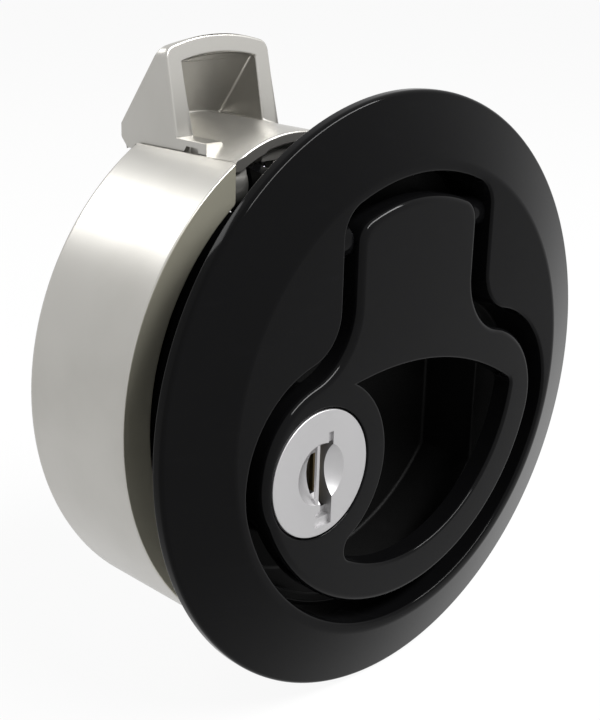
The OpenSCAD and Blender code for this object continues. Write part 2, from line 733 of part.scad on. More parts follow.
module clamp_screws() {
    head_y = cup_back + 0.85;
    color([0.72, 0.72, 0.73]) at_screws() difference() {
        union() {
            axial(0, 0, barrel_depth - screw_grip, head_y + 0.5, screw_d / 2);
            axial(0, 0, head_y, head_y + 2.4, screw_d * 0.95);
        }
        for (a = [0, 90]) rotate([0, a, 0]) translate([-2.2, head_y + 1, -0.4]) cube([4.4, 3, 0.8]);
    }
}

module clamp_washers() {
    color([0.68, 0.68, 0.7]) at_screws() difference() {
        axial(0, 0, cup_back, cup_back + 0.8, screw_d * 1.1);
        axial(0, 0, cup_back - 1, cup_back + 2, screw_d / 2 + 0.2);
    }
}

module handle_buffer() {
    color([0.1, 0.1, 0.1]) axial(0, 13.4, plate_back + side_gap, recess_floor, 2.2);
}

bezel_housing();
handle();
handle_pin();
handle_spring();
handle_pin_clips();
pawl();
pawl_pin();
pawl_pin_clips();
pawl_spring();
pull_link();
link_pin_front();
link_pin_rear();
link_clip_front();
link_clip_rear();
lock_sleeve();
lock_plug();
lock_wafers();
lock_tongue();
tongue_washer();
tongue_screw();
sleeve_clip();
clamp_cup();
clamp_screws();
clamp_washers();
handle_buffer();
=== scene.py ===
"""Dresses the push-to-close latch: rounded castings and mouldings, finishes, studio and camera."""

import logging
import math
from dataclasses import dataclass, field
from enum import Enum
from typing import Any, Callable, ClassVar, Iterable, Optional, Sequence

import bmesh
import bpy
from mathutils import Matrix, Vector


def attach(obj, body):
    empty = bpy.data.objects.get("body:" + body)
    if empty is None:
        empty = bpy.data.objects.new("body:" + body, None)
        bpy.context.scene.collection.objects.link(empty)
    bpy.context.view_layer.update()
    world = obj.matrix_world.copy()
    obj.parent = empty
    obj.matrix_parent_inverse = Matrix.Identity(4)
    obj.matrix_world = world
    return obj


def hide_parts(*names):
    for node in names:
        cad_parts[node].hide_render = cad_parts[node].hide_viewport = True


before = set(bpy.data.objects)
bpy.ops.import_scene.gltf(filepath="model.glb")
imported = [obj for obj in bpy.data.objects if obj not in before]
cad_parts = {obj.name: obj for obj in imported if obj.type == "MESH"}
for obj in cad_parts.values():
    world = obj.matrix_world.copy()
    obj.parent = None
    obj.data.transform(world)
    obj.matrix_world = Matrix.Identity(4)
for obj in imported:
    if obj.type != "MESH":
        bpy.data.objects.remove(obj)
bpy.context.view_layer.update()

log = logging.getLogger("latch")

Triple = tuple[float, float, float]
Point = tuple[float, float]

# One millimetre in metres; the lengths below are in millimetres unless a comment says otherwise
MM = 0.001
# Vertices closer than this are one, in metres
WELD = 1e-6
# A point this close to a plane is on it
NEAR = 0.05
# How far a vertex of a flat front may stand off it
FLAT = 0.002
# How far solids that are joined reach into each other
OVERLAP = 0.1
# How far a cutter stands out of the face that it cuts
PAST = 1.0


class Body(str, Enum):
    """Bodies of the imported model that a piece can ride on."""

    HOUSING = "housing"
    HANDLE = "handle"
    PAWL = "pawl"
    LINK = "link"
    LOCK = "lock"


class Slot(str, Enum):
    """Material slots of the record."""

    HOUSING = "black_housing"
    HANDLE = "black_handle"
    ZINC = "satin_zinc"
    LOCK = "satin_lock"
    PIN = "steel_pin"
    LINK = "link_steel"
    WIRE = "spring_wire"
    CLIP = "dark_clip"
    SCREW = "zinc_screw"
    SLEEVE = "brass_sleeve"
    WAFER = "brass_wafer"
    RUBBER = "rubber_buffer"


# Shader graphs


class Sock:
    """An output socket that can be used in a Python expression."""

    def __init__(self, graph: "Graph", link: Any) -> None:
        """Keeps the graph and the socket.

        Args:
            graph: graph that new nodes are added to.
            link: output socket of a node.
        """
        self.graph = graph
        self.link = link

    def _math(self, operation: str, *values: Any) -> "Sock":
        """Adds one Math node.

        Args:
            operation: name of the Math node's operation.
            values: its inputs, in order.

        Returns:
            The node's output.
        """
        return self.graph.node("ShaderNodeMath", {"operation": operation}, dict(enumerate(values)))

    def __add__(self, other: Any) -> "Sock":
        """Sum."""
        return self._math("ADD", self, other)

    __radd__ = __add__

    def __mul__(self, other: Any) -> "Sock":
        """Product."""
        return self._math("MULTIPLY", self, other)

    __rmul__ = __mul__

    def __sub__(self, other: Any) -> "Sock":
        """Difference."""
        return self._math("SUBTRACT", self, other)

    def __rsub__(self, other: Any) -> "Sock":
        """Difference, the other way round."""
        return self._math("SUBTRACT", other, self)

    def clamped(self) -> "Sock":
        """The value kept between 0 and 1."""
        return self.graph.node("ShaderNodeClamp", {}, {0: self})

    def ramp(self, low: float, high: float) -> "Sock":
        """A smooth step.

        Args:
            low: value that gives 0.
            high: value that gives 1.

        Returns:
            The stepped value.
        """
        return self.graph.node(
            "ShaderNodeMapRange",
            {"interpolation_type": "SMOOTHSTEP"},
            {"Value": self, "From Min": low, "From Max": high},
        )


class Graph:
    """The nodes of one material or world."""

    def __init__(self, owner: Any, output: str) -> None:
        """Empties the owner's node tree and adds its output.

        Args:
            owner: material or world.
            output: type of the output node.
        """
        owner.use_nodes = True
        self.tree = owner.node_tree
        self.tree.nodes.clear()
        self.output = self.tree.nodes.new(output)

    def node(
        self,
        kind: str,
        settings: Optional[dict[str, Any]] = None,
        inputs: Optional[dict[Any, Any]] = None,
        out: Any = 0,
    ) -> Sock:
        """Adds a node.

        Args:
            kind: the node's type.
            settings: the node's own attributes, which are set first.
            inputs: values or links, by socket name or number.
            out: name or number of the output that is returned.

        Returns:
            The chosen output.
        """
        made = self.tree.nodes.new(kind)
        for key, value in (settings or {}).items():
            setattr(made, key, value)
        for key, value in (inputs or {}).items():
            self.feed(made.inputs[key], value)
        return Sock(self, made.outputs[out])

    def feed(self, socket: Any, value: Any) -> None:
        """Sets or links one input socket.

        Args:
            socket: the input.
            value: a Sock, a number, a colour or a vector.
        """
        if isinstance(value, Sock):
            self.tree.links.new(value.link, socket)
        elif isinstance(value, (tuple, list, Vector)) and socket.type == "RGBA":
            socket.default_value = (*value[:3], 1.0)
        else:
            socket.default_value = value

    def mix(self, factor: Any, first: Any, second: Any) -> Sock:
        """Blends two colours.

        Args:
            factor: 0 gives the first, 1 the second.
            first: colour or link.
            second: colour or link.

        Returns:
            The blended colour.
        """
        return self.node("ShaderNodeMix", {"data_type": "RGBA"}, {0: factor, 6: first, 7: second}, 2)

    def place(self, scale: Sequence[float] = (1, 1, 1)) -> Sock:
        """Object coordinates, stretched.

        Args:
            scale: factor on each axis.

        Returns:
            The mapped vector, in metres before the factor.
        """
        points = self.node("ShaderNodeTexCoord", out="Object")
        return self.node("ShaderNodeMapping", {}, {"Vector": points, "Scale": scale})

    def noise(self, where: Sock, scale: float, detail: float = 3.0, rough: float = 0.5) -> Sock:
        """A noise value between 0 and 1.

        Args:
            where: vector to read.
            scale: number of features in a metre.
            detail: octaves.
            rough: share of the finer octaves.

        Returns:
            The noise.
        """
        return self.node(
            "ShaderNodeTexNoise", {}, {"Vector": where, "Scale": scale, "Detail": detail, "Roughness": rough}
        )

    def bump(self, height: Sock, strength: float, depth: float) -> Sock:
        """A bumped normal.

        Args:
            height: height between 0 and 1.
            strength: strength of the effect.
            depth: what a height of 1 stands for, in millimetres.

        Returns:
            The normal.
        """
        inputs = {"Strength": strength, "Distance": depth * MM, "Height": height}
        return self.node("ShaderNodeBump", {}, inputs)

    def principled(self, inputs: dict[str, Any]) -> None:
        """Adds a Principled shader and links it to the output.

        Args:
            inputs: values or links by socket name.
        """
        self.feed(self.output.inputs[0], self.node("ShaderNodeBsdfPrincipled", {}, inputs))


# Finishes


@dataclass(frozen=True)
class Moulding:
    """Black moulded plastic."""

    name: str
    colour: Triple = (0.0022, 0.0022, 0.0024)
    worn: Triple = (0.004, 0.004, 0.0042)
    roughness: float = 0.06
    grain: float = 0.0
    specular: float = 0.055

    def material(self) -> bpy.types.Material:
        """Builds the material.

        Returns:
            A black plastic with faint handling marks and a moulded grain.
        """
        made = bpy.data.materials.new(self.name)
        g = Graph(made, "ShaderNodeOutputMaterial")
        at = g.place()
        cloud = g.noise(at, scale=70.0, detail=4.0, rough=0.6)
        fine = g.noise(at, scale=900.0, detail=2.0)
        smear = g.noise(g.place(scale=(1.0, 1.0, 5.0)), scale=160.0, detail=5.0, rough=0.65)
        marks = smear.ramp(low=0.55, high=0.8)
        grain = g.noise(at, scale=2600.0, detail=2.0, rough=0.7)
        rough = self.roughness + cloud * 0.04 + marks * 0.05 + grain * (0.16 * self.grain)
        height = fine * (1.0 - self.grain) + grain * self.grain
        g.principled(
            {
                "Base Color": g.mix(cloud * 0.4 + marks * 0.35, self.colour, self.worn),
                "Roughness": rough,
                "Specular IOR Level": self.specular,
                "Normal": g.bump(height, strength=0.05 + 0.55 * self.grain, depth=0.01 + 0.1 * self.grain),
            }
        )
        return made


@dataclass(frozen=True)
class Metal:
    """Metal with a satin, ground, plated or drawn surface."""

    name: str
    colour: Triple
    dull: Triple
    roughness: float = 0.3
    streak: Triple = (1.0, 1.0, 1.0)
    streak_depth: float = 0.0
    pores: float = 0.3
    metallic: float = 1.0

    def material(self) -> bpy.types.Material:
        """Builds the material.

        Returns:
            A metal with a cloudy tone, fine pores and, where asked, streaks.
        """
        made = bpy.data.materials.new(self.name)
        g = Graph(made, "ShaderNodeOutputMaterial")
        at = g.place()
        cloud = g.noise(at, scale=60.0, detail=4.0, rough=0.55)
        pores = g.noise(at, scale=2200.0, detail=3.0, rough=0.6)
        streaks = g.noise(g.place(self.streak), scale=1500.0, detail=3.0, rough=0.6)
        tone = cloud.ramp(low=0.35, high=0.75) * 0.6 + streaks * (0.35 * self.streak_depth)
        height = pores * self.pores + streaks * self.streak_depth
        g.principled(
            {
                "Base Color": g.mix(tone, self.colour, self.dull),
                "Metallic": self.metallic,
                "Roughness": self.roughness + cloud * 0.08 + streaks * (0.1 * self.streak_depth),
                "Normal": g.bump(height, strength=0.18, depth=0.03),
            }
        )
        return made


@dataclass(frozen=True)
class Rubber:
    """Moulded rubber."""

    name: str
    colour: Triple = (0.018, 0.018, 0.018)
    dusty: Triple = (0.05, 0.05, 0.048)

    def material(self) -> bpy.types.Material:
        """Builds the material.

        Returns:
            A matt rubber with a dusty bloom.
        """
        made = bpy.data.materials.new(self.name)
        g = Graph(made, "ShaderNodeOutputMaterial")
        bloom = g.noise(g.place(), scale=300.0, detail=5.0, rough=0.7)
        g.principled(
            {
                "Base Color": g.mix(bloom.ramp(low=0.4, high=0.8) * 0.5, self.colour, self.dusty),
                "Roughness": bloom * 0.15 + 0.68,
                "Normal": g.bump(bloom, strength=0.3, depth=0.04),
            }
        )
        return made


@dataclass(frozen=True)
class Palette:
    """Every finish of the latch, by material slot."""

    finishes: dict[Slot, Any] = field(
        default_factory=lambda: {
            Slot.HOUSING: Moulding("black_moulding"),
            Slot.HANDLE: Moulding("black_handle_moulding", roughness=0.07, specular=0.075),
            Slot.ZINC: Metal(
                "satin_nickel_casting", colour=(0.44, 0.43, 0.405), dull=(0.37, 0.36, 0.335), metallic=0.9,
            ),
            Slot.LOCK: Metal(
                "satin_lock_face", colour=(0.47, 0.465, 0.47), dull=(0.43, 0.425, 0.43),
                roughness=0.42, pores=0.15, metallic=0.9,
            ),
            Slot.PIN: Metal(
                "ground_pin_steel", colour=(0.5, 0.5, 0.51), dull=(0.4, 0.4, 0.41),
                roughness=0.22, streak=(60.0, 1.0, 1.0), streak_depth=0.5,
            ),
            Slot.LINK: Metal(
                "plated_sheet_steel", colour=(0.44, 0.44, 0.43), dull=(0.36, 0.36, 0.35),
                roughness=0.36, streak=(1.0, 0.08, 1.0), streak_depth=0.4,
            ),
            Slot.WIRE: Metal(
                "drawn_spring_wire", colour=(0.33, 0.33, 0.34), dull=(0.25, 0.25, 0.26),
                streak=(0.2, 1.0, 1.0), streak_depth=0.3,
            ),
            Slot.CLIP: Metal(
                "phosphated_clip", colour=(0.07, 0.07, 0.075), dull=(0.04, 0.04, 0.042), roughness=0.5,
            ),
            Slot.SCREW: Metal(
                "zinc_plated_screw", colour=(0.5, 0.5, 0.49), dull=(0.4, 0.4, 0.4), roughness=0.28,
            ),
            Slot.SLEEVE: Metal(
                "turned_brass", colour=(0.5, 0.38, 0.18), dull=(0.38, 0.28, 0.13),
                streak=(1.0, 40.0, 1.0), streak_depth=0.5,
            ),
            # Brass wafers whose colour is darkened well below the sleeve's brass: painted shade, so they read
            # dark deep in the keyway
            Slot.WAFER: Metal(
                "stamped_brass_painted_shade", colour=(0.2, 0.155, 0.08), dull=(0.13, 0.1, 0.05), roughness=0.4,
            ),
            Slot.RUBBER: Rubber("buffer_rubber"),
        }
    )
    bowl: Moulding = Moulding(
        "grained_bowl_moulding", colour=(0.003, 0.003, 0.003), worn=(0.006, 0.006, 0.006),
        roughness=0.42, grain=1.0, specular=0.12,
    )
    # Painted shade: a dark colour for the keyway's deep walls, where the slot lies in shade
    keyway: Metal = Metal("keyway_painted_shade", colour=(0.07, 0.07, 0.072), dull=(0.04, 0.04, 0.042), roughness=0.5)
    # Painted light: an olive, partly diffuse copy of the cast metal stands in for the warm reflected light on
    # the cup's front rim, which faces the black bezel
    rim: Metal = Metal(
        "cup_rim_painted_light", colour=(0.4, 0.385, 0.31), dull=(0.32, 0.305, 0.24), roughness=0.42, metallic=0.6,
    )

    def build(self) -> dict[Any, bpy.types.Material]:
        """Builds every material.

        Returns:
            Materials by slot, and those of the bowl, the rim and the keyway under their names.
        """
        made: dict[Any, bpy.types.Material] = {}
        for slot, finish in self.finishes.items():
            made[slot] = finish.material()
        made["bowl"] = self.bowl.material()
        made["rim"] = self.rim.material()
        made["keyway"] = self.keyway.material()
        return made


# Pieces


def blend(before: Point, corner: Point, after: Point, radius: float, steps: int = 3) -> list[Point]:
    """Rounds one corner of a profile.

    Args:
        before: point before the corner, as radius and depth.
        corner: the corner.
        after: point after it.
        radius: radius of the rounding.
        steps: number of steps across it.

    Returns:
        The points that take the corner's place.
    """
    at = Vector(corner)
    back = (Vector(before) - at).normalized()
    on = (Vector(after) - at).normalized()
    half = back.angle(on) / 2
    centre = at + (back + on).normalized() * (radius / math.sin(half))
    first = at + back * (radius / math.tan(half)) - centre
    last = at + on * (radius / math.tan(half)) - centre
    return [tuple(centre + first.slerp(last, i / steps) * radius) for i in range(steps + 1)]


def rounded_profile(corners: Sequence[Triple]) -> list[Point]:
    """Rounds a profile's corners.

    Args:
        corners: radius, depth and rounding of each corner; 0 leaves a corner sharp.

    Returns:
        The points of the rounded profile.
    """
    made: list[Point] = []
    for index, (radius, depth, rounding) in enumerate(corners):
        if rounding > 0 and 0 < index < len(corners) - 1:
            made += blend(corners[index - 1][:2], (radius, depth), corners[index + 1][:2], rounding)
        else:
            made.append((radius, depth))
    return made


def turned(profile: Sequence[Point], steps: int = 160, centre: Point = (0.0, 0.0)) -> bmesh.types.BMesh:
    """A closed solid spun about an axis along Y.

    Args:
        profile: radius and depth of each point, in millimetres; it starts and ends on the axis.
        steps: number of steps round the axis.
        centre: X and Z of the axis.

    Returns:
        The new mesh, in metres.
    """
    mesh = bmesh.new()
    verts = [mesh.verts.new((radius * MM, depth * MM, 0)) for radius, depth in profile]
    edges = [mesh.edges.new(pair) for pair in zip(verts, verts[1:])]
    bmesh.ops.spin(
        mesh, geom=verts + edges, cent=(0, 0, 0), axis=(0, 1, 0), angle=math.tau, steps=steps, use_merge=True,
    )
    bmesh.ops.remove_doubles(mesh, verts=mesh.verts, dist=WELD)
    bmesh.ops.translate(mesh, verts=mesh.verts, vec=(centre[0] * MM, 0, centre[1] * MM))
    bmesh.ops.recalc_face_normals(mesh, faces=mesh.faces)
    return mesh


def block(low: Sequence[float], high: Sequence[float]) -> bmesh.types.BMesh:
    """A box.

    Args:
        low: lowest corner in millimetres.
        high: highest corner.

    Returns:
        The new mesh, in metres.
    """
    mesh = bmesh.new()
    bmesh.ops.create_cube(mesh, size=1.0)
    size = [b - a for a, b in zip(low, high)]
    bmesh.ops.scale(mesh, verts=mesh.verts, vec=[s * MM for s in size])
    bmesh.ops.translate(mesh, verts=mesh.verts, vec=[(a + b) / 2 * MM for a, b in zip(low, high)])
    return mesh


def rod(place: Point, depth: tuple[float, float], radius: float, steps: int = 48) -> bmesh.types.BMesh:
    """A round bar along Y.

    Args:
        place: X and Z of its axis in millimetres.
        depth: its two ends.
        radius: its radius.
        steps: its number of sides.

    Returns:
        The new mesh, in metres.
    """
    return turned([(0, depth[0]), (radius, depth[0]), (radius, depth[1]), (0, depth[1])], steps, place)


def linked(name: str, data: Any) -> bpy.types.Object:
    """Adds an object to the scene, at the origin.

    Args:
        name: its name.
        data: its mesh, camera or lamp.

    Returns:
        The new object.
    """
    made = bpy.data.objects.new(name, data)
    bpy.context.scene.collection.objects.link(made)
    return made


def mesh_object(name: str, mesh: bmesh.types.BMesh) -> bpy.types.Object:
    """Turns a bmesh into an object.

    Args:
        name: name of the object and its mesh.
        mesh: the bmesh; it is freed.

    Returns:
        The new object.
    """
    data = bpy.data.meshes.new(name)
    mesh.to_mesh(data)
    mesh.free()
    return linked(name, data)


def combined(
    mesh: bmesh.types.BMesh, others: Iterable[bmesh.types.BMesh], operation: str
) -> bmesh.types.BMesh:
    """Cuts solids out of a solid, or joins them to it.

    Args:
        mesh: the solid; it is freed.
        others: the other solids; they are freed.
        operation: DIFFERENCE or UNION.

    Returns:
        The new solid.
    """
    for other in others:
        work, tool = mesh_object("work", mesh), mesh_object("tool", other)
        cut = work.modifiers.new("cut", "BOOLEAN")
        cut.operation, cut.solver, cut.object = operation, "EXACT", tool
        bpy.context.view_layer.update()
        mesh = bmesh.new()
        mesh.from_object(work, bpy.context.evaluated_depsgraph_get())
        for piece in (work, tool):
            data = piece.data
            bpy.data.objects.remove(piece)
            bpy.data.meshes.remove(data)
        bmesh.ops.remove_doubles(mesh, verts=mesh.verts, dist=2 * WELD)
    return mesh


def flat_front(mesh: bmesh.types.BMesh, depth: float) -> list[bmesh.types.BMFace]:
    """Finds the faces of a flat front.

    Args:
        mesh: the mesh, in metres.
        depth: Y of the flat front.

    Returns:
        Its faces.
    """
    return [face for face in mesh.faces if all(abs(vert.co.y / MM - depth) < FLAT for vert in face.verts)]


class Bench:
    """Makes, finishes and publishes pieces."""

    # Faces that meet at less than this many degrees are joined in a merged copy
    flat_angle: float = 0.6
    # How far normals lean to the larger faces: 50 is neutral and 100 the most
    normal_weight: int = 80
    # Edges that turn by less than this many degrees are shaded smooth
    smooth_below: float = 32.0

    def __init__(self, finishes: dict[Any, bpy.types.Material]) -> None:
        """Keeps the finishes.

        Args:
            finishes: materials by slot.
        """
        self.finishes = finishes
        self.count = 0

    def merged(self, node: str) -> bmesh.types.BMesh:
        """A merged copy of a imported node's mesh, with flat areas joined.

        Args:
            node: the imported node.

        Returns:
            The new mesh, in metres.
        """
        mesh = bmesh.new()
        mesh.from_mesh(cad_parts[node].data)
        bmesh.ops.remove_doubles(mesh, verts=mesh.verts, dist=WELD)
        bmesh.ops.dissolve_limit(
            mesh, angle_limit=math.radians(self.flat_angle), use_dissolve_boundaries=False,
            verts=mesh.verts, edges=mesh.edges, delimit=set(),
        )
        return mesh

    def refaced(self, mesh: bmesh.types.BMesh, depth: float) -> None:
        """Fills a flat front again with even triangles.

        Args:
            mesh: mesh to work on, in metres.
            depth: Y of the flat front.
        """
        bmesh.ops.delete(mesh, geom=flat_front(mesh, depth), context="FACES")
        rim = [edge for edge in mesh.edges if edge.is_boundary]
        bmesh.ops.triangle_fill(mesh, use_beauty=True, edges=rim, normal=(0, -1, 0))
        bmesh.ops.recalc_face_normals(mesh, faces=mesh.faces)

    def loops(self, mesh: bmesh.types.BMesh, depth: float) -> list[set[bmesh.types.BMEdge]]:
        """Finds the outlines of a flat front.

        Args:
            mesh: the mesh, in metres.
            depth: Y of the flat front.

        Returns:
            The edges of each outline, the longest outline first.
        """
        flat = set(flat_front(mesh, depth))
        rest = {edge for edge in mesh.edges if len(flat.intersection(edge.link_faces)) == 1}
        found = []
        while rest:
            grown = [rest.pop()]
            loop = set(grown)
            while grown:
                near = {edge for vert in grown.pop().verts for edge in vert.link_edges} & rest
                rest -= near
                loop |= near
                grown += near
            found.append(loop)
        return sorted(found, key=lambda loop: -sum(edge.calc_length() for edge in loop))

    def rounded(
        self,
        mesh: bmesh.types.BMesh,
        width: float,
        segments: int,
        sharp: float,
        where: Optional[Callable[[Vector], bool]] = None,
        among: Optional[Iterable[bmesh.types.BMEdge]] = None,
    ) -> None:
        """Rounds a mesh's sharp edges.

        Args:
            mesh: mesh to work on, in metres.
            width: width of the rounding.
            segments: steps across the rounding.
            sharp: least angle of an edge that is rounded, in degrees.
            where: test on an edge's middle; None takes all.
            among: edges to choose from; None takes all.
        """
        chosen = []
        for edge in mesh.edges if among is None else among:
            if len(edge.link_faces) != 2 or edge.calc_face_angle(0.0) < math.radians(sharp):
                continue
            middle = (edge.verts[0].co + edge.verts[1].co) / (2 * MM)
            if where is None or where(middle):
                chosen.append(edge)
        if chosen:
            bmesh.ops.bevel(
                mesh, geom=chosen, offset=width * MM, offset_type="OFFSET", segments=segments,
                profile=0.5, affect="EDGES", clamp_overlap=False, material=-1,
            )

    def publish(
        self,
        mesh: bmesh.types.BMesh,
        name: str,
        body: Body,
        slot: Slot,
        replaces: Sequence[str],
    ) -> bpy.types.Object:
        """Turns a bmesh into a finished piece that rides on a body.

        Args:
            mesh: the piece, in metres.
            name: name of the new object.
            body: body that it rides on.
            slot: material slot that it takes its finish from.
            replaces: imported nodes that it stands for.

        Returns:
            The new object.
        """
        for face in mesh.faces:
            face.smooth = True
        for edge in mesh.edges:
            edge.smooth = edge.calc_face_angle(0.0) < math.radians(self.smooth_below)
        piece = mesh_object(name, mesh)
        piece.data.materials.append(self.finishes[slot])
        normals = piece.modifiers.new("normals", "WEIGHTED_NORMAL")
        normals.keep_sharp = True
        normals.weight = self.normal_weight
        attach(piece, body.value)
        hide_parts(*replaces)
        self.count += 1
        log.info("%s: %d faces on %s", name, len(piece.data.polygons), body.value)
        return piece

    def dress(self, node: str, slot: Slot) -> bpy.types.Object:
        """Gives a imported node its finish.

        Args:
            node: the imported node.
            slot: its material slot.

        Returns:
            The node's object.
        """
        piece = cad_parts[node]
        piece.data.materials.clear()
        piece.data.materials.append(self.finishes[slot])
        log.info("%s: packed node in %s", node, slot.value)
        return piece


class Part:
    """A sub-assembly of the latch."""

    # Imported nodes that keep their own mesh, and the finish of each
    packed: ClassVar[dict[str, Slot]] = {}

    def build(self, bench: Bench) -> list[bpy.types.Object]:
        """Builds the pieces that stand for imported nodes.

        Args:
            bench: where pieces are made.

        Returns:
            The new pieces.
        """
        raise NotImplementedError

    def dress(self, bench: Bench) -> None:
        """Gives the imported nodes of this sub-assembly their finishes.

        Args:
            bench: where the finishes are.
        """
        for node, slot in self.packed.items():
            bench.dress(node, slot)


@dataclass
class Housing(Part):
    """Bezel, recess, bowl and barrel, moulded in one."""

    outline_edge: float = 0.42
    outline_reach: float = 29.2
    floor_edge: float = 0.3
    bowl_edge: float = 0.5
    face_depth: float = -4.5
    recess_floor: float = 2.6
    bowl_depth: float = 11.5
    bowl_reach: float = 27.6
    crease_r: float = 30.0
    flange: tuple[Triple, ...] = (
        (29.0, -4.5, 0.0),
        (30.0, -4.5, 2.0),
        (38.1, -1.5, 0.7),
        (38.1, 0.0, 0.2),
        (37.0, 0.0, 0.0),
    )

    def build(self, bench: Bench) -> list[bpy.types.Object]:
        """Builds the housing.

        Args:
            bench: where pieces are made.

        Returns:
            The housing piece.
        """
        mesh = bench.merged("bezel_housing")
        self.renew_flange(mesh)
        bench.refaced(mesh, self.face_depth)
        bench.rounded(mesh, self.outline_edge, 4, 60.0, self.on_outline)
        bench.refaced(mesh, self.face_depth)
        bench.rounded(mesh, self.floor_edge, 3, 40.0, lambda p: abs(p.y - self.recess_floor) < NEAR)
        bench.rounded(mesh, self.bowl_edge, 4, 40.0, lambda p: abs(p.y - self.bowl_depth) < NEAR)
        piece = bench.publish(mesh, "moulded_housing", Body.HOUSING, Slot.HOUSING, ["bezel_housing"])
        self.grain(bench, piece)
        return [piece]

    def on_outline(self, p: Vector) -> bool:
        """Whether a point lies on the recess's outline in the flat front."""
        return p.y < self.face_depth + NEAR and math.hypot(p.x, p.z) < self.outline_reach

    def on_flange(self, face: bmesh.types.BMFace) -> bool:
        """Whether a face belongs to the flange.

        Args:
            face: a face of the merged housing.

        Returns:
            True for the cone, the rim and the flange's back.
        """
        reach = self.crease_r - 2 * NEAR
        return all(v.co.y < NEAR * MM and math.hypot(v.co.x, v.co.z) > reach * MM for v in face.verts)

    def renew_flange(self, mesh: bmesh.types.BMesh) -> None:
        """Draws the flange again as even rings with a soft crease and a rounded rim.

        Args:
            mesh: the merged housing.
        """
        bmesh.ops.delete(mesh, geom=[face for face in mesh.faces if self.on_flange(face)], context="FACES")
        halfway = self.face_depth * MM / 2
        open_edges = [edge for edge in mesh.edges if edge.is_boundary]
        front = [edge for edge in open_edges if edge.verts[0].co.y < halfway]
        back = [edge for edge in open_edges if edge.verts[0].co.y > halfway]
        bmesh.ops.subdivide_edges(mesh, edges=front, cuts=1)
        loop = [edge for edge in mesh.edges if edge.is_boundary and edge.verts[0].co.y < halfway]
        radius = self.crease_r
        verts = list({vert for edge in loop for vert in edge.verts})
        for vert in verts:
            vert.co *= Vector((1, 0, 1))
            vert.co = vert.co.normalized() * radius * MM + Vector((0, self.face_depth * MM, 0))
        for index, (reach, depth) in enumerate(rounded_profile(self.flange)[1:]):
            if index:
                grown = bmesh.ops.extrude_edge_only(mesh, edges=loop)["geom"]
                verts = [part for part in grown if isinstance(part, bmesh.types.BMVert)]
                loop = [part for part in grown if isinstance(part, bmesh.types.BMEdge) and part.is_boundary]
            factor = reach / radius
            bmesh.ops.scale(mesh, verts=verts, vec=(factor, 1, factor))
            bmesh.ops.translate(mesh, verts=verts, vec=(0, depth * MM - verts[0].co.y, 0))
            radius = reach
        bmesh.ops.bridge_loops(mesh, edges=loop + back)
        bmesh.ops.recalc_face_normals(mesh, faces=mesh.faces)

    def grain(self, bench: Bench, piece: bpy.types.Object) -> None:
        """Gives the recess's floor and the bowl their grained finish.

        Args:
            bench: where the finishes are.
            piece: the housing piece.
        """
        piece.data.materials.append(bench.finishes["bowl"])
        top = self.recess_floor - self.floor_edge - 2 * NEAR
        for face in piece.data.polygons:
            middle = face.center / MM
            deep = top < middle.y < self.bowl_depth + 2 * NEAR
            if deep and math.hypot(middle.x, middle.z) < self.bowl_reach:
                face.material_index = 1


@dataclass
class Handle(Part):
    """Lift handle with its pin, spring and buffer."""

    packed: ClassVar[dict[str, Slot]] = {
        "handle_pin": Slot.PIN,
        "handle_pin_clips": Slot.CLIP,
        "handle_spring": Slot.WIRE,
        "handle_buffer": Slot.RUBBER,
    }

    face: float = -4.5
    # Width and steps of the rounding round the outline, the finger hole and the lock's seat
    edges: tuple[tuple[float, int], ...] = ((1.0, 6), (0.45, 4), (0.2, 3))

    def build(self, bench: Bench) -> list[bpy.types.Object]:
        """Builds the handle.

        Args:
            bench: where pieces are made.

        Returns:
            The handle piece.
        """
        mesh = bench.merged("handle")
        bench.refaced(mesh, self.face)
        for index, (width, segments) in enumerate(self.edges):
            bench.rounded(mesh, width, segments, 50.0, among=bench.loops(mesh, self.face)[index])
            bench.refaced(mesh, self.face)
        return [bench.publish(mesh, "lift_handle", Body.HANDLE, Slot.HANDLE, ["handle"])]


